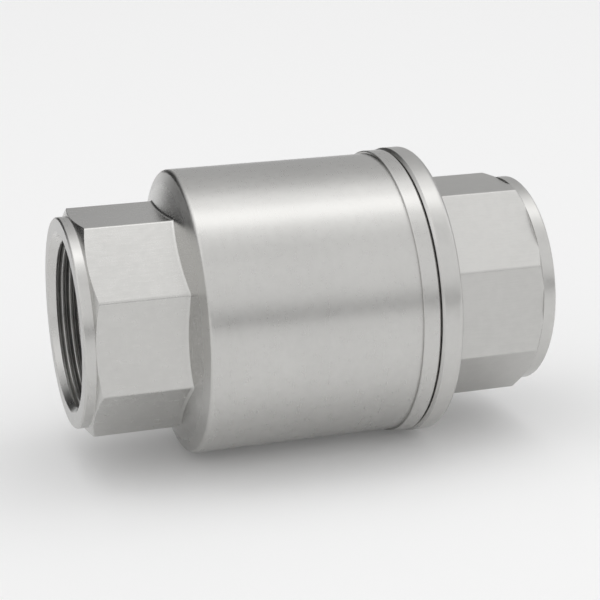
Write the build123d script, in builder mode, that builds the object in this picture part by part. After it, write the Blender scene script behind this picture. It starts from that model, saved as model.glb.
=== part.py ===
"""Inline spring check valve, 1-1/2 inch, two-piece stainless casing with female pipe threads.

Millimetres. The flow axis is X, from the inlet port (-X) to the outlet port (+X), and the origin is
on that axis, midway between the two port faces. The poppet is drawn closed, on its seat, and lifts
along +X until its stem collar meets the outlet bush.
"""

import os
from math import atan, cos, degrees, radians, sin, tan

from build123d import *

# ---- casing, outside ----
HALF_LENGTH = 66.5
BODY_COLLAR_R, BODY_COLLAR_LENGTH = 28.95, 2.9
CAP_COLLAR_R, CAP_COLLAR_LENGTH = 29.65, 3.7
# Heights of the eight spanner flats, from the back (+Y) round over the top (+Z). The castings are
# left as cast here, so two of the flats on each stand a little off the nominal height.
FLAT_COUNT, FLAT_HEIGHT = 8, 29.2
BODY_FLATS = (FLAT_HEIGHT, FLAT_HEIGHT, FLAT_HEIGHT, 29.8, FLAT_HEIGHT, 29.5, FLAT_HEIGHT, FLAT_HEIGHT)
CAP_FLATS = (FLAT_HEIGHT, FLAT_HEIGHT, FLAT_HEIGHT, 28.8, FLAT_HEIGHT, 29.9, FLAT_HEIGHT, FLAT_HEIGHT)
CAP_CLOCKING = 0.7  # degrees that the cap tightens up past the body's flats
FLAT_EDGE_R = 1.0
CORNER_R, BODY_CHAMFER_LENGTH, CAP_CHAMFER_LENGTH = 32.3, 1.75, 1.9
SHELL_R = 39.5
SHOULDER_ROOT_X, SHOULDER_ROOT_R, SHOULDER_X, SHOULDER_FILLET = -39.2, 28.9, -35.2, 1.3
BAND_X, BAND_R = 22.9, 40.3
JOINT_X, JOINT_GAP, JOINT_CHAMFER = 28.1, 0.15, 0.7
FLANGE_END_X, FLANGE_R, FLANGE_FILLET, CAP_ROOT_X = 34.0, 40.75, 1.6, 38.0
ROOT_FILLET = 0.7
EDGE_BREAK = 0.4

# ---- 1-1/2 inch pipe threads in both ports: 11.5 to the inch, right hand, 60 degrees ----
# The grooves taper 1 in 16 on the diameter, in a straight hole, so the crests widen on the way in.
PIPE_PITCH, PIPE_CREST_R = 25.4 / 11.5, 22.4
PIPE_ROOT_R, PIPE_ROOT_FLAT, PIPE_TAPER = 23.95, 0.15, 1 / 32  # the root's radius is at the face
PORT_MOUTH_R = 24.75
PIPE_FIRST, PIPE_LAST, PIPE_END = -1.27, 16.8, 18.0  # measured in from the port face
WATERWAY_R = 20.5

# ---- body, inside ----
POCKET_X, POCKET_R, POCKET_MOUTH_X, POCKET_MOUTH_R = -43.6, 25.0, -33.0, 25.85
CHAMBER_X, CHAMBER_R = -29.5, 34.6
SEAT_PITCH, SEAT_THREAD_DEPTH, SEAT_THREAD_X, SEAT_TURNS = 1.5, 0.7, -37.7, 3

# ---- thread and pilot that join the cap to the body ----
CAP_PITCH, CAP_THREAD_DEPTH, CAP_THREAD_X, CAP_TURNS = 2.0, 1.1, 8.0, 6
CAP_CREST_R = 32.9
PILOT_X, PILOT_R = 22.5, 35.0
SPIGOT_X = 6.5
CAP_BORE_R, CAP_BORE_END_X, CAP_THROAT_X = 29.0, 25.0, 37.0

# ---- poppet, seat and guides ----
LIFT = 10.0
SEAT_X, SEAT_BORE_R = -22.0, 19.5
CLOSED_GAP = 0.1
STEM_R, JOURNAL_R, RUNNING = 4.0, 3.2, 0.05
STEM_START_X, STEM_END_X = -48.0, 30.0
SLIP = 0.02  # between pieces that are pressed or clamped together
GUIDE_ARMS = 3
DISC_X, DISC_BACK_X, DISC_HUB_END_X, DISC_R, DISC_HUB_R = -20.6, -14.5, -8.0, 25.5, 9.0
SEAL_FRONT_X, SEAL_BACK_X = SEAT_X + CLOSED_GAP, -19.0
SEAL_LIP_R, SEAL_STEP_R, SEAL_OUT_R = 14.0, 17.6, 24.2
RETAINER_X, WASHER_X, NUT_X = -22.8, -24.6, -30.4
NUT_FLATS = 13.0
OUT_BUSH_X, OUT_BUSH_FLANGE_R, OUT_BUSH_R = 11.0, 7.5, 5.6
IN_BUSH_R = 4.6

# ---- spring ----
SPRING_R, WIRE_R, ACTIVE_TURNS = 10.8, 0.6, 5
CUP_X, CUP_THICKNESS, CUP_R, CUP_HEIGHT = DISC_BACK_X + 0.05, 1.0, 13.0, 3.4
REST_X, REST_THICKNESS = 14.0, 1.0


def turn(*points, mode=Mode.ADD):
    """Revolve an outline of (x, radius) points about the flow axis."""
    with BuildSketch(Plane.XY) as outline:
        with BuildLine():
            Polyline(*points, close=True)
        make_face()
    revolve(outline.sketch, axis=Axis.X, mode=mode)


def bore(radius, start, end):
    """Cut a plain cylinder along the flow axis."""
    turn((start, 0), (start, radius), (end, radius), (end, 0), mode=Mode.SUBTRACT)


def groove(start, end, inner, outer):
    """Cut a square annular groove between two radii."""
    turn((start, inner), (start, outer), (end, outer), (end, inner), mode=Mode.SUBTRACT)


def cut_thread(first_x, turns, pitch, crest_r, depth, root_flat=0.12):
    """Cut 60 degree thread grooves from crest_r; a negative depth cuts an outside thread."""
    past = 0.3 if depth > 0 else -0.3
    half = abs(depth + past) * tan(radians(30)) + root_flat
    with BuildSketch(Plane.XY) as teeth:
        for n in range(turns):
            x = first_x + n * pitch
            with BuildLine():
                Polyline(
                    (x - half, crest_r - past),
                    (x - root_flat, crest_r + depth),
                    (x + root_flat, crest_r + depth),
                    (x + half, crest_r - past),
                    close=True,
                )
            make_face()
    revolve(teeth.sketch, axis=Axis.X, mode=Mode.SUBTRACT)


def rims(part, x, radius, tolerance=0.02):
    """The circular edges of a part that stand at x with this radius."""
    return part.edges().filter_by(
        lambda e: e.geom_type == GeomType.CIRCLE
        and abs(e.arc_center.X - x) < tolerance
        and abs(e.radius - radius) < tolerance
    )


def octagon(heights, clocking, start, end):
    """A spanner octagon between two places on the axis, one height for each of its flats."""
    step = 360 / FLAT_COUNT
    corners = []
    for n, height in enumerate(heights):
        next_height = heights[(n + 1) % FLAT_COUNT]
        along = (next_height - height * cos(radians(step))) / sin(radians(step))
        corners.append(Vector(height, along).rotate(Axis.Z, n * step + clocking))
    with BuildPart() as blank:
        with BuildSketch(Plane.YZ.offset(start)) as flats:
            with BuildLine():
                Polyline(*corners, close=True)
            make_face()
            fillet(flats.vertices(), FLAT_EDGE_R)
        extrude(amount=end - start)
    return blank.part


def cut_port(port_side):
    """Cut one port: its mouth, its helical pipe thread and the cone down to the waterway."""

    def inward(distance):
        return port_side * (HALF_LENGTH - distance)

    mouth_depth = PORT_MOUTH_R - PIPE_CREST_R
    cone_length = PIPE_CREST_R - WATERWAY_R
    turn(
        (inward(-1), 0),
        (inward(-1), PORT_MOUTH_R + 1),
        (inward(mouth_depth), PIPE_CREST_R),
        (inward(PIPE_END), PIPE_CREST_R),
        (inward(PIPE_END + cone_length), WATERWAY_R),
        (inward(PIPE_END + cone_length), 0),
        mode=Mode.SUBTRACT,
    )
    axis = (-port_side, 0, 0)
    with BuildLine():
        path = Helix(
            PIPE_PITCH,
            PIPE_LAST - PIPE_FIRST,
            PIPE_ROOT_R - PIPE_FIRST * PIPE_TAPER,
            center=(inward(PIPE_FIRST), 0, 0),
            direction=axis,
            cone_angle=-degrees(atan(PIPE_TAPER)),
        )
    depth = PIPE_ROOT_R - PIPE_CREST_R + 0.3
    root = PIPE_ROOT_FLAT / 2
    half = root + depth * tan(radians(30))
    with BuildSketch(Plane(path @ 0, x_dir=axis, z_dir=path % 0)) as tooth:
        with BuildLine():
            Polyline((-half, -depth), (-root, 0), (root, 0), (half, -depth), close=True)
        make_face()
    sweep(tooth.sketch, path=path, is_frenet=True, mode=Mode.SUBTRACT)


def root_edges(part, start, end):
    """The edges between two places on the axis where the flats run out into a shoulder."""
    return part.edges().filter_by(
        lambda e: start < e.center().X < end
        and e.geom_type not in (GeomType.LINE, GeomType.CIRCLE)
        and (e @ 0.5 - Vector(e.center().X, 0, 0)).length > BODY_COLLAR_R
    )


def o_ring(x, radius, section):
    """A round-section seal about the flow axis."""
    with BuildPart() as ring:
        with BuildSketch(Plane.XY):
            with Locations((x, radius)):
                Circle(section)
        revolve(axis=Axis.X)
    return ring


def bush(start, end, inner, outer, flange_r=None):
    """A guide bush, with a flange 1 mm thick at its start if flange_r is given."""
    with BuildPart() as sleeve:
        turn((start, inner), (start, outer), (end, outer), (end, inner))
        chamfer(rims(sleeve, end, outer), EDGE_BREAK)
        if flange_r:
            turn((start, inner), (start, flange_r), (start + 1, flange_r), (start + 1, inner))
            chamfer(rims(sleeve, start, flange_r), EDGE_BREAK / 2)
    return sleeve


def spokes(start, end, hub_r, rim_inner, rim_outer, arm_width):
    """A rim and a hub joined by arms, with rounded roots, extruded along X."""
    with BuildSketch(Plane.YZ.offset(start)) as wheel:
        Circle(rim_outer)
        Circle(rim_inner, mode=Mode.SUBTRACT)
        Circle(hub_r)
        middle = (hub_r + rim_inner) / 2
        with PolarLocations(middle, GUIDE_ARMS, start_angle=90):
            Rectangle(rim_inner - hub_r + 1.5, arm_width)
        roots = wheel.vertices().filter_by(lambda v: Vector(*v).length < rim_outer - 0.5)
        fillet(roots, 1.2)
    extrude(wheel.sketch, amount=end - start)


# ---------------------------------------------------------------- casing

body_octagon = octagon(BODY_FLATS, 0, -HALF_LENGTH, SHOULDER_X)
with BuildPart() as body:
    collar_end = -HALF_LENGTH + BODY_COLLAR_LENGTH
    turn(
        (collar_end, 0),
        (collar_end, BODY_COLLAR_R),
        (collar_end + BODY_CHAMFER_LENGTH, CORNER_R),
        (SHOULDER_X, CORNER_R),
        (SHOULDER_X, 0),
    )
    add(body_octagon, mode=Mode.INTERSECT)
    turn(
        (-HALF_LENGTH, 0),
        (-HALF_LENGTH, BODY_COLLAR_R),
        (collar_end + 1, BODY_COLLAR_R),
        (SHOULDER_ROOT_X, SHOULDER_ROOT_R),
        (SHOULDER_X, SHELL_R),
        (BAND_X, SHELL_R),
        (BAND_X, BAND_R),
        (JOINT_X, BAND_R),
        (JOINT_X, 0),
    )
    fillet(root_edges(body, SHOULDER_ROOT_X, SHOULDER_X), ROOT_FILLET)
    fillet(rims(body, SHOULDER_X, SHELL_R), SHOULDER_FILLET)
    fillet(rims(body, BAND_X, BAND_R), EDGE_BREAK)
    chamfer(rims(body, JOINT_X, BAND_R), JOINT_CHAMFER)
    chamfer(rims(body, -HALF_LENGTH, BODY_COLLAR_R), EDGE_BREAK)
    cut_port(-1)
    bore(WATERWAY_R, -HALF_LENGTH + PIPE_END, POCKET_X)
    turn(
        (POCKET_X, 0),
        (POCKET_X, POCKET_R),
        (POCKET_MOUTH_X, POCKET_R),
        (POCKET_MOUTH_X, POCKET_MOUTH_R),
        (CHAMBER_X, POCKET_MOUTH_R),
        (CHAMBER_X, CHAMBER_R),
        (SPIGOT_X - 2.5, CHAMBER_R),
        (SPIGOT_X - 0.8, CAP_CREST_R),
        (PILOT_X - 2.1, CAP_CREST_R),
        (PILOT_X, PILOT_R + RUNNING),
        (JOINT_X + 1, PILOT_R + RUNNING),
        (JOINT_X + 1, 0),
        mode=Mode.SUBTRACT,
    )
    cut_thread(SEAT_THREAD_X, SEAT_TURNS, SEAT_PITCH, POCKET_R, SEAT_THREAD_DEPTH)
    cut_thread(CAP_THREAD_X, CAP_TURNS, CAP_PITCH, CAP_CREST_R, CAP_THREAD_DEPTH)
    fillet(rims(body, CHAMBER_X, CHAMBER_R), 3.0)

cap_octagon = octagon(CAP_FLATS, CAP_CLOCKING, FLANGE_END_X, HALF_LENGTH)
with BuildPart() as end_cap:
    collar_end = HALF_LENGTH - CAP_COLLAR_LENGTH
    thread_r = CAP_CREST_R + 0.95
    thread_x = CAP_THREAD_X - CAP_PITCH / 2
    relief_x = thread_x + CAP_TURNS * CAP_PITCH
    turn(
        (FLANGE_END_X, 0),
        (FLANGE_END_X, CORNER_R),
        (collar_end - CAP_CHAMFER_LENGTH, CORNER_R),
        (collar_end, CAP_COLLAR_R),
        (collar_end, 0),
    )
    add(cap_octagon, mode=Mode.INTERSECT)
    turn(
        (SPIGOT_X, 0),
        (SPIGOT_X, thread_r),
        (relief_x - 0.5, thread_r),
        (relief_x, CAP_CREST_R - 0.3),
        (PILOT_X + 0.4, CAP_CREST_R - 0.3),
        (PILOT_X + 0.8, PILOT_R),
        (JOINT_X + JOINT_GAP, PILOT_R),
        (JOINT_X + JOINT_GAP, FLANGE_R),
        (FLANGE_END_X, FLANGE_R),
        (CAP_ROOT_X, 28.7),
        (collar_end, 28.7),
        (collar_end, CAP_COLLAR_R),
        (HALF_LENGTH, CAP_COLLAR_R),
        (HALF_LENGTH, 0),
    )
    fillet(root_edges(end_cap, FLANGE_END_X, CAP_ROOT_X), ROOT_FILLET)
    fillet(rims(end_cap, FLANGE_END_X, FLANGE_R), FLANGE_FILLET)
    chamfer(rims(end_cap, JOINT_X + JOINT_GAP, FLANGE_R), JOINT_CHAMFER)
    chamfer(rims(end_cap, HALF_LENGTH, CAP_COLLAR_R), EDGE_BREAK)
    chamfer(rims(end_cap, SPIGOT_X, thread_r), 1.2)
    groove(24.0, 26.6, CAP_CREST_R, PILOT_R + 1)
    cut_port(1)
    turn(
        (SPIGOT_X - 1, 0),
        (SPIGOT_X - 1, CAP_BORE_R),
        (CAP_BORE_END_X, CAP_BORE_R),
        (CAP_BORE_END_X, CAP_BORE_R - 4.5),
        (CAP_THROAT_X, WATERWAY_R),
        (HALF_LENGTH - PIPE_END - 1.5, WATERWAY_R),
        (HALF_LENGTH - PIPE_END - 1.5, 0),
        mode=Mode.SUBTRACT,
    )
    groove(17.3, 18.9, CAP_BORE_R - 1, CAP_BORE_R + 1.6)
    chamfer(rims(end_cap, SPIGOT_X, CAP_BORE_R), 0.6)
    cut_thread(thread_x, CAP_TURNS + 1, CAP_PITCH, thread_r, -CAP_THREAD_DEPTH, root_flat=0.2)

cap_o_ring = o_ring(25.3, 33.97, 1.03)

# ---------------------------------------------------------------- seat

with BuildPart() as seat_ring:
    thread_r = POCKET_R + 0.6
    seat_start = SEAT_THREAD_X - SEAT_PITCH / 2
    seat_relief = seat_start + SEAT_TURNS * SEAT_PITCH
    turn(
        (seat_start, SEAT_BORE_R),
        (seat_start, POCKET_R - 0.2),
        (seat_start + 0.4, thread_r),
        (seat_relief - 0.3, thread_r),
        (seat_relief, POCKET_R - 0.2),
        (POCKET_MOUTH_X + 0.1, POCKET_R - 0.2),
        (POCKET_MOUTH_X + 0.4, POCKET_MOUTH_R - RUNNING),
        (CHAMBER_X + 0.02, POCKET_MOUTH_R - RUNNING),
        (CHAMBER_X + 0.02, POCKET_MOUTH_R + 2.8),
        (CHAMBER_X + 3.2, POCKET_MOUTH_R + 2.8),
        (CHAMBER_X + 3.7, POCKET_MOUTH_R + 2.3),
        (CHAMBER_X + 3.7, 24.6),
        (SEAT_X - 0.9, 22.8),
        (SEAT_X, 22.2),
        (SEAT_X, 20.8),
        (SEAT_X - 1.0, SEAT_BORE_R),
    )
    cut_thread(seat_start, SEAT_TURNS + 1, SEAT_PITCH, thread_r, -SEAT_THREAD_DEPTH, root_flat=0.2)
    groove(-32.2, -30.2, 24.0, POCKET_MOUTH_R + 1)
    with BuildSketch(Plane.YZ.offset(CHAMBER_X + 1.6)):
        with PolarLocations(POCKET_MOUTH_R + 2.0, 4, start_angle=45):
            Rectangle(4.4, 5.0)
    extrude(amount=4, mode=Mode.SUBTRACT)

seat_o_ring = o_ring(-31.2, 24.88, 0.85)

# ---------------------------------------------------------------- guides

with BuildPart() as inlet_guide:
    guide_start = POCKET_X + 0.05
    spokes(guide_start, guide_start + 4.9, 7.0, 20.6, POCKET_R - 0.1, 3.2)
    turn(
        (guide_start - 1.6, 0),
        (guide_start - 1.6, 5.8),
        (guide_start, 7.0),
        (-34.0, 7.0),
        (-32.6, 6.2),
        (-32.6, 0),
    )
    bore(IN_BUSH_R + SLIP, guide_start - 5, -30)

inlet_guide_bush = bush(-44.8, -32.6, JOURNAL_R + RUNNING, IN_BUSH_R)

with BuildPart() as outlet_guide:
    spokes(19.0, CAP_BORE_END_X - 0.05, 8.5, CAP_BORE_R - 4.4, CAP_BORE_R - 0.1, 4.2)
    turn(
        (OUT_BUSH_X + 1, 0),
        (OUT_BUSH_X + 1, 9.2),
        (OUT_BUSH_X + 1.4, 9.6),
        (REST_X + REST_THICKNESS, 9.6),
        (REST_X + REST_THICKNESS, 13.5),
        (17.2, 13.5),
        (19.0, 8.5),
        (26.0, 8.5),
        (27.6, 7.4),
        (27.6, 0),
    )
    bore(OUT_BUSH_R + SLIP, OUT_BUSH_X, 30)

outlet_guide_bush = bush(OUT_BUSH_X, 27.2, STEM_R + RUNNING, OUT_BUSH_R, OUT_BUSH_FLANGE_R)

with BuildPart() as retaining_ring:
    ring_r, ring_inner = CAP_BORE_R + 1.5, CAP_BORE_R - 1.6
    with BuildSketch(Plane.YZ.offset(17.35)):
        Circle(ring_r)
        Circle(ring_inner, mode=Mode.SUBTRACT)
        with Locations((0, ring_inner)):
            Rectangle(11.0, 12.0, mode=Mode.SUBTRACT)
        for side in (-1, 1):
            with Locations((side * 6.4, 26.4)):
                Circle(2.5)
                Circle(1.0, mode=Mode.SUBTRACT)
    extrude(amount=1.5)

# ---------------------------------------------------------------- poppet

with BuildPart() as poppet_disc:
    turn(
        (DISC_X, 0),
        (DISC_X, SEAL_LIP_R - SLIP),
        (SEAL_BACK_X, SEAL_LIP_R - SLIP),
        (SEAL_BACK_X, SEAL_OUT_R + 0.1),
        (DISC_X, SEAL_OUT_R + 0.1),
        (DISC_X, DISC_R - 0.4),
        (DISC_X + 0.4, DISC_R),
        (-16.4, DISC_R),
        (-15.4, DISC_R - 1.0),
        (-15.4, 17.0),
        (DISC_BACK_X, 15.5),
        (DISC_BACK_X, DISC_HUB_R),
        (DISC_HUB_END_X, DISC_HUB_R),
        (DISC_HUB_END_X, 0),
    )
    bore(STEM_R + SLIP, DISC_X - 1, DISC_HUB_END_X + 1)
    groove(DISC_X - 1, DISC_X + 1.8, STEM_R, STEM_R + 1.9)
    chamfer(rims(poppet_disc, DISC_HUB_END_X, DISC_HUB_R), 0.6)

stem_o_ring = o_ring(DISC_X + 0.92, STEM_R + 0.95, 0.85)

with BuildPart() as poppet_stem:
    thread_start = NUT_X - 0.8
    collar_end = OUT_BUSH_X - LIFT - CLOSED_GAP
    turn(
        (STEM_START_X, 0),
        (STEM_START_X, JOURNAL_R - 0.7),
        (STEM_START_X + 0.7, JOURNAL_R),
        (thread_start - 0.6, JOURNAL_R),
        (thread_start, STEM_R),
        (DISC_HUB_END_X + SLIP, STEM_R),
        (DISC_HUB_END_X + SLIP, 6.5),
        (collar_end - 0.4, 6.5),
        (collar_end, 6.1),
        (collar_end, STEM_R),
        (STEM_END_X - 0.8, STEM_R),
        (STEM_END_X, STEM_R - 0.8),
        (STEM_END_X, 0),
    )
    cut_thread(thread_start + 1.0, 7, 1.25, STEM_R, -0.65)

with BuildPart() as disc_seal:
    turn(
        (SEAL_FRONT_X, SEAL_STEP_R),
        (SEAL_FRONT_X, SEAL_OUT_R - 0.4),
        (SEAL_FRONT_X + 0.4, SEAL_OUT_R),
        (SEAL_BACK_X - SLIP, SEAL_OUT_R),
        (SEAL_BACK_X - SLIP, SEAL_LIP_R + SLIP),
        (DISC_X, SEAL_LIP_R + SLIP),
        (DISC_X, SEAL_STEP_R),
    )

with BuildPart() as seal_retainer:
    turn(
        (RETAINER_X, STEM_R + 0.1),
        (RETAINER_X, 13.5),
        (RETAINER_X + 1.2, SEAL_STEP_R - 0.2),
        (DISC_X - SLIP, SEAL_STEP_R - 0.2),
        (DISC_X - SLIP, STEM_R + 0.1),
    )
    fillet(rims(seal_retainer, RETAINER_X, 13.5), 1.0)

with BuildPart() as lock_washer:
    with BuildSketch(Plane.YZ.offset(WASHER_X + SLIP)):
        Circle(6.9)
        Circle(STEM_R + 0.15, mode=Mode.SUBTRACT)
        with Locations(Location((5.5, 0), 25)):
            Rectangle(5.0, 0.8, mode=Mode.SUBTRACT)
    extrude(amount=RETAINER_X - WASHER_X - 2 * SLIP)

with BuildPart() as stem_nut:
    nut_corner = NUT_FLATS / 2 / 0.8660254
    with BuildSketch(Plane.YZ.offset(NUT_X)):
        RegularPolygon(NUT_FLATS / 2, 6, major_radius=False)
        Circle(STEM_R + RUNNING, mode=Mode.SUBTRACT)
    extrude(amount=WASHER_X - NUT_X)
    turn(
        (NUT_X, 0),
        (NUT_X, NUT_FLATS / 2 - 0.1),
        (NUT_X + 0.65, nut_corner + 0.1),
        (WASHER_X - 0.65, nut_corner + 0.1),
        (WASHER_X, NUT_FLATS / 2 - 0.1),
        (WASHER_X, 0),
        mode=Mode.INTERSECT,
    )

# ---------------------------------------------------------------- spring

with BuildPart() as spring_cup:
    turn(
        (CUP_X, DISC_HUB_R + 0.2),
        (CUP_X, CUP_R),
        (CUP_X + CUP_HEIGHT, CUP_R),
        (CUP_X + CUP_HEIGHT, CUP_R - CUP_THICKNESS),
        (CUP_X + CUP_THICKNESS, CUP_R - CUP_THICKNESS),
        (CUP_X + CUP_THICKNESS, DISC_HUB_R + 0.2),
    )
    fillet(rims(spring_cup, CUP_X, CUP_R), 0.8)

with BuildPart() as spring_rest:
    turn(
        (REST_X, 9.7),
        (REST_X, CUP_R),
        (REST_X + REST_THICKNESS - SLIP, CUP_R),
        (REST_X + REST_THICKNESS - SLIP, 9.7),
    )

with BuildPart() as spring:
    spring_start, spring_end = CUP_X + CUP_THICKNESS, REST_X
    closed_pitch = 2 * WIRE_R + 0.02
    active_length = spring_end - spring_start - 2 * closed_pitch
    coils = (
        (spring_start, closed_pitch, closed_pitch),
        (spring_start + closed_pitch, active_length / ACTIVE_TURNS, active_length),
        (spring_end - closed_pitch, closed_pitch, closed_pitch),
    )
    for coil_start, pitch, length in coils:
        with BuildLine():
            coil = Helix(pitch, length, SPRING_R, center=(coil_start, 0, 0), direction=(1, 0, 0))
        with BuildSketch(Plane(coil @ 0, z_dir=coil % 0)):
            Circle(WIRE_R)
        sweep(path=coil, is_frenet=True)
    turn(
        (spring_start + SLIP, 0),
        (spring_start + SLIP, CUP_R),
        (spring_end - SLIP, CUP_R),
        (spring_end - SLIP, 0),
        mode=Mode.INTERSECT,
    )

# ---------------------------------------------------------------- output

os.makedirs("parts", exist_ok=True)
PARTS = {
    "body": body,
    "end_cap": end_cap,
    "cap_o_ring": cap_o_ring,
    "seat_ring": seat_ring,
    "seat_o_ring": seat_o_ring,
    "inlet_guide": inlet_guide,
    "inlet_guide_bush": inlet_guide_bush,
    "outlet_guide": outlet_guide,
    "outlet_guide_bush": outlet_guide_bush,
    "retaining_ring": retaining_ring,
    "spring_rest": spring_rest,
    "spring": spring,
    "spring_cup": spring_cup,
    "poppet_disc": poppet_disc,
    "poppet_stem": poppet_stem,
    "stem_o_ring": stem_o_ring,
    "disc_seal": disc_seal,
    "seal_retainer": seal_retainer,
    "lock_washer": lock_washer,
    "stem_nut": stem_nut,
}
for name, piece in PARTS.items():
    piece.part.label = name
    export_step(piece.part, f"parts/{name}.step")
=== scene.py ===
"""The inline check valve in its studio: finishes for each piece, a pale floor, soft light and the camera."""

from math import cos, pi, radians, sin

import bpy
from mathutils import Matrix, Vector


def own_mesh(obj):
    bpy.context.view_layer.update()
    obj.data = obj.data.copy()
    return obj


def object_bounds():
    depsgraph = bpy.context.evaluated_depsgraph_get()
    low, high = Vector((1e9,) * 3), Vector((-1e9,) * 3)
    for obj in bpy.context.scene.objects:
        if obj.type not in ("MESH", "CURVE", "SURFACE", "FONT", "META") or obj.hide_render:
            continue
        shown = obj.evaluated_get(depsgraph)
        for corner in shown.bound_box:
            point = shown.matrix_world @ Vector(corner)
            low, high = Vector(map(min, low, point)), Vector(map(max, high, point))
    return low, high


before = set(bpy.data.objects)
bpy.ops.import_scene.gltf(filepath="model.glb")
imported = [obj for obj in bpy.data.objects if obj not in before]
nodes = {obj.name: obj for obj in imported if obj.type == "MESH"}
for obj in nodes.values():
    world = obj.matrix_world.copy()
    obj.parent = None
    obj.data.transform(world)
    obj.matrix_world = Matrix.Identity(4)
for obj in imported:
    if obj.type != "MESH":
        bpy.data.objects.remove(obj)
cad_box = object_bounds()
scene = bpy.context.scene
scene.view_settings.view_transform = "Standard"

MM = 0.001

# Where the castings' finish changes. Each pair is a blend's two ends: radii, or for PAST_MOUTH places on X.
FLATS_RADIUS = (28.2 * MM, 28.9 * MM)
PORT_RADIUS = (24.9 * MM, 24.4 * MM)
PAST_MOUTH = (64.6 * MM, 63.8 * MM)
THREAD_GROOVE = (22.5 * MM, 23.5 * MM)
# The stretches of X that the spanner flats take up, and how far their finish takes to blend in.
BODY_FLATS = (-63.4 * MM, -36.5 * MM)
CAP_FLATS = (36.5 * MM, 62.6 * MM)
FLATS_BLEND = 0.4 * MM


# ---------------------------------------------------------------- node helpers


def add(tree, kind, inputs=None, **settings):
    """Add a node. inputs maps its sockets to numbers, colours, or other nodes' outputs."""
    node = tree.nodes.new(kind)
    for key, value in settings.items():
        setattr(node, key, value)
    for key, value in (inputs or {}).items():
        if isinstance(value, bpy.types.NodeSocket):
            tree.links.new(value, node.inputs[key])
        else:
            node.inputs[key].default_value = value
    return node


def maths(tree, operation, a, b=0.0, clamp=False):
    """One step of arithmetic; returns its output."""
    return add(tree, "ShaderNodeMath", {0: a, 1: b}, operation=operation, use_clamp=clamp).outputs[0]


def product(tree, *factors):
    """Numbers and outputs multiplied together."""
    result = factors[0]
    for factor in factors[1:]:
        result = maths(tree, "MULTIPLY", result, factor)
    return result


def total(tree, *terms):
    """Numbers and outputs added together."""
    result = terms[0]
    for term in terms[1:]:
        result = maths(tree, "ADD", result, term)
    return result


def between(tree, value, low, high, to_low=0.0, to_high=1.0):
    """Carry value from the range low..high to to_low..to_high, smoothly and clamped."""
    sockets = {"Value": value, "From Min": low, "From Max": high, "To Min": to_low, "To Max": to_high}
    return add(tree, "ShaderNodeMapRange", sockets, interpolation_type="SMOOTHSTEP").outputs["Result"]


def noise(tree, vector, scale, detail=3.0, rough=0.55):
    """Three-dimensional noise, as a number from 0 to 1."""
    sockets = {"Vector": vector, "Scale": scale, "Detail": detail, "Roughness": rough}
    return add(tree, "ShaderNodeTexNoise", sockets).outputs[0]


def stretched(tree, vector, scale):
    """The vector with each of its parts scaled."""
    sockets = {0: vector, 1: scale}
    return add(tree, "ShaderNodeVectorMath", sockets, operation="MULTIPLY").outputs[0]


def mix_colour(tree, factor, a, b):
    """Blend two colours by a number from 0 to 1."""
    node = add(tree, "ShaderNodeMix", data_type="RGBA")
    for socket, value in ((0, factor), (6, a), (7, b)):
        if isinstance(value, bpy.types.NodeSocket):
            tree.links.new(value, node.inputs[socket])
        else:
            node.inputs[socket].default_value = value
    return node.outputs[2]


def colour(red, green, blue):
    """An opaque colour."""
    return (red, green, blue, 1.0)


def shade(tint, factor):
    """A tint made lighter or darker, no lighter than white."""
    return colour(*(min(1.0, factor * part) for part in tint))


def new_material(name):
    """An empty material with its output; returns the material, its tree and the surface socket."""
    material = bpy.data.materials.new(name)
    material.use_nodes = True
    tree = material.node_tree
    tree.nodes.clear()
    surface = tree.nodes.new("ShaderNodeOutputMaterial").inputs["Surface"]
    return material, tree, surface


def object_point(tree):
    """The vector from the object's origin to a point on it."""
    return add(tree, "ShaderNodeTexCoord").outputs["Object"]


def place(tree, at):
    """A point's X and its distance from the flow axis."""
    x = add(tree, "ShaderNodeSeparateXYZ", {0: at}).outputs["X"]
    across = stretched(tree, at, (0, 1, 1))
    radius = add(tree, "ShaderNodeVectorMath", {0: across}, operation="LENGTH").outputs["Value"]
    return x, radius


def flats_mask(tree, x, radius, start, end):
    """1 on the spanner flats between two places on the flow axis, and 0 elsewhere."""
    from_start = between(tree, x, start, start + FLATS_BLEND)
    to_end = between(tree, x, end, end - FLATS_BLEND)
    return product(tree, from_start, to_end, between(tree, radius, *FLATS_RADIUS))


def port_mask(tree, x, radius):
    """1 on the walls inside a port, past its mouth's chamfer, and 0 elsewhere."""
    past_mouth = between(tree, maths(tree, "ABSOLUTE", x), *PAST_MOUTH)
    return product(tree, past_mouth, between(tree, radius, *PORT_RADIUS))


def end_face(tree):
    """1 on faces square to the flow axis and 0 on the rest."""
    facing = add(tree, "ShaderNodeTexCoord").outputs["Normal"]
    along = add(tree, "ShaderNodeSeparateXYZ", {0: facing}).outputs["X"]
    return between(tree, maths(tree, "ABSOLUTE", along), 0.9, 0.98)


def lathe_marks(tree, x, radius, pitch):
    """Fine rings left by a turning tool, which run round the flow axis on any turned face."""
    along = maths(tree, "ADD", x, radius)
    sockets = {"W": along, "Scale": 1 / pitch, "Detail": 3.0, "Roughness": 0.6}
    return add(tree, "ShaderNodeTexNoise", sockets, noise_dimensions="1D").outputs[0]


def edge_wear_and_glint(tree, radius):
    """1 along sharp edges and 0 on open faces, with the rounded normal that the edge catches light by."""
    rounded = add(tree, "ShaderNodeBevel", {"Radius": radius}, samples=4).outputs[0]
    plain = add(tree, "ShaderNodeNewGeometry").outputs["Normal"]
    sockets = {0: rounded, 1: plain}
    same = add(tree, "ShaderNodeVectorMath", sockets, operation="DOT_PRODUCT").outputs["Value"]
    return between(tree, same, 0.995, 0.86), rounded


# ---------------------------------------------------------------- finishes


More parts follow.
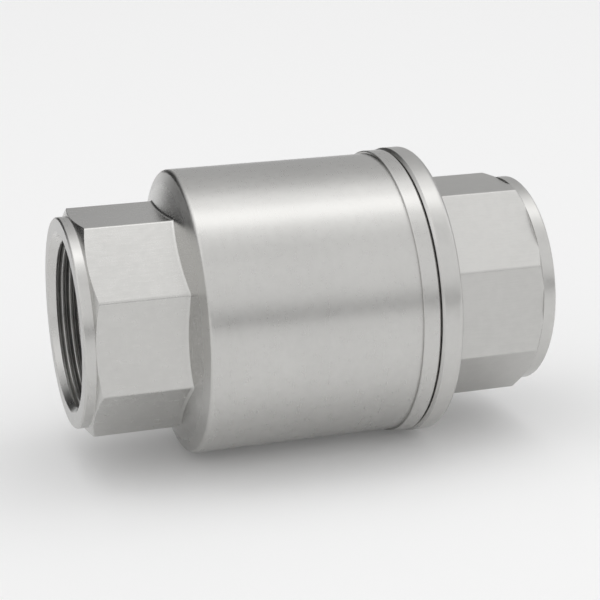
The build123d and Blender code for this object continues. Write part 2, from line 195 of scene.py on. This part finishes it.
def satin_steel(name, tint, base_rough, flats=None, flats_rougher=0.0, marks=0.3, grain=0.45):
    """Stainless steel, turned and blasted to satin. flats is the stretch of X that has spanner flats, which
    are linished along the flow axis. Only the castings have them, and only they have ports."""
    material, tree, surface = new_material(name)
    at = object_point(tree)
    x, radius = place(tree, at)
    drift = noise(tree, at, scale=35, detail=2)
    mottle = noise(tree, at, scale=420, detail=3, rough=0.6)
    grains = noise(tree, at, scale=2400, detail=2, rough=0.6)
    brushed = noise(tree, stretched(tree, at, (0.09, 1, 1)), scale=2600, detail=3, rough=0.65)
    rings = lathe_marks(tree, x, radius, 0.4 * MM)
    wear_and_glint, rounded = edge_wear_and_glint(tree, 0.3 * MM)
    on_flats = flats_mask(tree, x, radius, *flats) if flats else 0.0
    in_port = port_mask(tree, x, radius) if flats else 0.0
    streaks = product(tree, maths(tree, "SUBTRACT", brushed, 0.5), on_flats)

    # colour: slow drift and fine mottling, painted shade on the faced ends, edges lighter for wear and as a
    # painted highlight, painted shade in the thread grooves
    tone = total(tree, product(tree, drift, 0.5), product(tree, mottle, 0.5), product(tree, streaks, 0.6))
    base = mix_colour(tree, between(tree, tone, 0.3, 0.7), shade(tint, 0.965), shade(tint, 1.035))
    # painted shade: faces square to the flow axis are darkened in colour to dim what they reflect
    base = mix_colour(tree, end_face(tree), base, shade(tint, 0.8))
    # edges lighter in colour: partly wear, partly a painted highlight for the light that edges catch
    base = mix_colour(tree, product(tree, wear_and_glint, 0.5), base, shade(tint, 1.2))
    # painted shade: the thread grooves inside a port are darkened, and the crests are a little lighter
    in_groove = between(tree, radius, *THREAD_GROOVE)
    thread = mix_colour(tree, in_groove, shade(tint, 1.05), shade(tint, 0.6))
    base = mix_colour(tree, in_port, base, thread)

    # roughness: follows the mottling, rings and streaks, and edges are polished by wear
    rough = between(tree, mottle, 0.25, 0.75, base_rough - 0.015, base_rough + 0.015)
    ring_rough = product(tree, maths(tree, "SUBTRACT", rings, 0.5), 0.06)
    flats_rough = total(tree, product(tree, streaks, 0.12), product(tree, on_flats, flats_rougher))
    rough = total(tree, rough, ring_rough, flats_rough)
    rough = maths(tree, "SUBTRACT", rough, product(tree, wear_and_glint, 0.08), clamp=True)

    # relief: blasted grain everywhere, turning rings off the flats, linishing on them
    off_flats = maths(tree, "SUBTRACT", 1.0, on_flats)
    turned = product(tree, rings, marks, off_flats)
    linished = product(tree, brushed, 0.5, on_flats)
    height = total(tree, product(tree, grains, grain), turned, linished)
    bump = {"Strength": 0.2, "Distance": 0.02 * MM, "Height": height, "Normal": rounded}
    shader = {
        "Base Color": base,
        "Metallic": 1.0,
        "Roughness": rough,
        "Anisotropic": 0.4,
        "Anisotropic Rotation": 0.25,
        "Normal": add(tree, "ShaderNodeBump", bump).outputs[0],
        "Tangent": add(tree, "ShaderNodeTangent", direction_type="RADIAL", axis="X").outputs[0],
    }
    tree.links.new(add(tree, "ShaderNodeBsdfPrincipled", shader).outputs[0], surface)
    return material


def rubber(name):
    """Black moulded elastomer, matt, with a light bloom."""
    material, tree, surface = new_material(name)
    at = object_point(tree)
    bloom = noise(tree, at, scale=700, detail=4, rough=0.6)
    black, grey = colour(0.012, 0.012, 0.013), colour(0.04, 0.04, 0.042)
    bump = {"Strength": 0.3, "Distance": 0.03 * MM, "Height": noise(tree, at, scale=5200, detail=2)}
    shader = {
        "Base Color": mix_colour(tree, between(tree, bloom, 0.4, 0.75), black, grey),
        "Roughness": between(tree, bloom, 0.3, 0.7, 0.5, 0.68),
        "Normal": add(tree, "ShaderNodeBump", bump).outputs[0],
    }
    tree.links.new(add(tree, "ShaderNodeBsdfPrincipled", shader).outputs[0], surface)
    return material


def ptfe(name):
    """White PTFE, machined: waxy, faintly mottled, with turning rings."""
    material, tree, surface = new_material(name)
    at = object_point(tree)
    cloud = noise(tree, at, scale=420, detail=4, rough=0.6)
    rings = lathe_marks(tree, *place(tree, at), 0.3 * MM)
    cream, white = colour(0.78, 0.77, 0.74), colour(0.9, 0.9, 0.88)
    bump = {"Strength": 0.25, "Distance": 0.03 * MM, "Height": rings}
    shader = {
        "Base Color": mix_colour(tree, between(tree, cloud, 0.3, 0.7), cream, white),
        "Roughness": between(tree, rings, 0.3, 0.7, 0.36, 0.5),
        "Subsurface Weight": 0.25,
        "Subsurface Scale": 0.002,
        "Normal": add(tree, "ShaderNodeBump", bump).outputs[0],
    }
    tree.links.new(add(tree, "ShaderNodeBsdfPrincipled", shader).outputs[0], surface)
    return material


def spring_wire(name):
    """Drawn spring wire: fine draw lines and a patchy straw-grey tone."""
    material, tree, surface = new_material(name)
    at = object_point(tree)
    patch = noise(tree, at, scale=330, detail=4, rough=0.6)
    draw = noise(tree, stretched(tree, at, (6, 0.6, 0.6)), scale=1500, detail=3, rough=0.6)
    straw, grey = colour(0.4, 0.385, 0.36), colour(0.56, 0.55, 0.53)
    bump = {"Strength": 0.3, "Distance": 0.02 * MM, "Height": draw}
    shader = {
        "Base Color": mix_colour(tree, between(tree, patch, 0.3, 0.7), straw, grey),
        "Metallic": 1.0,
        "Roughness": between(tree, draw, 0.3, 0.7, 0.24, 0.38),
        "Normal": add(tree, "ShaderNodeBump", bump).outputs[0],
    }
    tree.links.new(add(tree, "ShaderNodeBsdfPrincipled", shader).outputs[0], surface)
    return material


STEEL = (0.575, 0.57, 0.555)
BRIGHT_STEEL = (0.62, 0.615, 0.605)
finishes = {
    "body": satin_steel("satin_body", STEEL, 0.29, flats=BODY_FLATS, flats_rougher=-0.04),
    "end_cap": satin_steel("satin_cap", STEEL, 0.3, flats=CAP_FLATS, flats_rougher=0.12),
    "turned": satin_steel("turned_steel", BRIGHT_STEEL, 0.23, marks=0.7, grain=0.2),
    "wire": spring_wire("spring_wire"),
    "rubber": rubber("moulded_rubber"),
    "ptfe": ptfe("machined_ptfe"),
}
FINISH_OF = {
    "body": "body",
    "end_cap": "end_cap",
    "cap_o_ring": "rubber",
    "seat_o_ring": "rubber",
    "stem_o_ring": "rubber",
    "inlet_guide_bush": "ptfe",
    "outlet_guide_bush": "ptfe",
    "disc_seal": "ptfe",
    "spring": "wire",
    "retaining_ring": "wire",
    "lock_washer": "wire",
}
for name, node in nodes.items():
    finish = finishes[FINISH_OF.get(name, "turned")]
    for slot in node.material_slots:
        slot.material = finish
    if not node.material_slots:
        node.data.materials.append(finish)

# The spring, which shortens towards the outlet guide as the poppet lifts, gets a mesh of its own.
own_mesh(nodes["spring"])

# ---------------------------------------------------------------- studio

FLOOR_SIZE, FLOOR_GAP = 400, 0.3 * MM
lowest = cad_box[0][2]
bpy.ops.mesh.primitive_plane_add(size=FLOOR_SIZE, location=(0, 0, lowest - FLOOR_GAP))
floor = bpy.context.object
floor.name = "floor"
floor_material, tree, surface = new_material("pale_floor")
shader = {
    "Base Color": colour(0.88, 0.88, 0.88),
    "Roughness": 0.75,
    "Specular IOR Level": 0.2,
    "Emission Color": colour(1, 1, 1),
    "Emission Strength": 0.06,
}
tree.links.new(add(tree, "ShaderNodeBsdfPrincipled", shader).outputs[0], surface)
floor.data.materials.append(floor_material)

# The room's light, by degrees from the front horizon over the top to the back horizon.
ROOM = (
    (0, 0.3),
    (8, 0.58),
    (18, 0.92),
    (45, 0.94),
    (64, 0.86),
    (76, 1.14),
    (92, 1.18),
    (109, 1.32),
    (124, 0.7),
    (145, 0.56),
    (180, 0.48),
)
ROOM_PEAK = 2.0
world = bpy.data.worlds.new("studio")
scene.world = world
world.use_nodes = True
tree = world.node_tree
tree.nodes.clear()
toward = add(tree, "ShaderNodeTexCoord").outputs["Generated"]
part = add(tree, "ShaderNodeSeparateXYZ", {0: toward}).outputs
front = maths(tree, "MULTIPLY", part["Y"], -1.0)
height = maths(tree, "DIVIDE", maths(tree, "ARCTAN2", part["Z"], front), pi)
ramp = add(tree, "ShaderNodeValToRGB", {0: height})
stops = ramp.color_ramp.elements
while len(stops) < len(ROOM):
    stops.new(0.5)
for stop, (from_front, level) in zip(stops, ROOM):
    stop.position = from_front / 180
    stop.color = colour(*(3 * [level / ROOM_PEAK]))
# A dark flag stands low behind the inlet.
FLAG_TOWARD = (-0.4, 0.9, 0.12)
FLAG_EDGE, FLAG_MIDDLE, FLAG_LEVEL = 0.8, 0.94, 0.06
flag_axes = {0: toward, 1: FLAG_TOWARD}
near_flag = add(tree, "ShaderNodeVectorMath", flag_axes, operation="DOT_PRODUCT").outputs["Value"]
strength = between(tree, near_flag, FLAG_EDGE, FLAG_MIDDLE, ROOM_PEAK, FLAG_LEVEL * ROOM_PEAK)
background = add(tree, "ShaderNodeBackground", {"Color": ramp.outputs[0], "Strength": strength})
output = tree.nodes.new("ShaderNodeOutputWorld")
tree.links.new(background.outputs[0], output.inputs["Surface"])


def soft_light(name, place_m, aim_m, width, length, watts):
    """A rectangular soft box that faces a point."""
    data = bpy.data.lights.new(name, "AREA")
    data.shape, data.size, data.size_y, data.energy = "RECTANGLE", width, length, watts
    lamp = bpy.data.objects.new(name, data)
    scene.collection.objects.link(lamp)
    lamp.location = place_m
    lamp.rotation_euler = (Vector(aim_m) - Vector(place_m)).to_track_quat("-Z", "Y").to_euler()


soft_light("overhead", (0.0, 0.0, 1.4), (0, 0, 0), 1.6, 0.4, 1.2)

# ---------------------------------------------------------------- camera

AZIMUTH, ELEVATION, ROLL = radians(17.337), radians(16.145), radians(-0.981)
DISTANCE, LENS, SENSOR, NEAREST = 0.50015, 105.9, 36, 0.01
SHIFT = (0.0054, -0.0016)
back = Vector((-sin(AZIMUTH) * cos(ELEVATION), -cos(AZIMUTH) * cos(ELEVATION), sin(ELEVATION)))
right = (-back).cross(Vector((0, 0, 1))).normalized()
up = right.cross(-back)
right, up = cos(ROLL) * right + sin(ROLL) * up, cos(ROLL) * up - sin(ROLL) * right
camera_data = bpy.data.cameras.new("camera")
camera_data.lens, camera_data.sensor_width, camera_data.clip_start = LENS, SENSOR, NEAREST
camera_data.shift_x, camera_data.shift_y = SHIFT
camera = bpy.data.objects.new("camera", camera_data)
scene.collection.objects.link(camera)
turn = Matrix((right, up, back)).transposed()
camera.matrix_world = Matrix.Translation(back * DISTANCE) @ turn.to_4x4()
scene.camera = camera
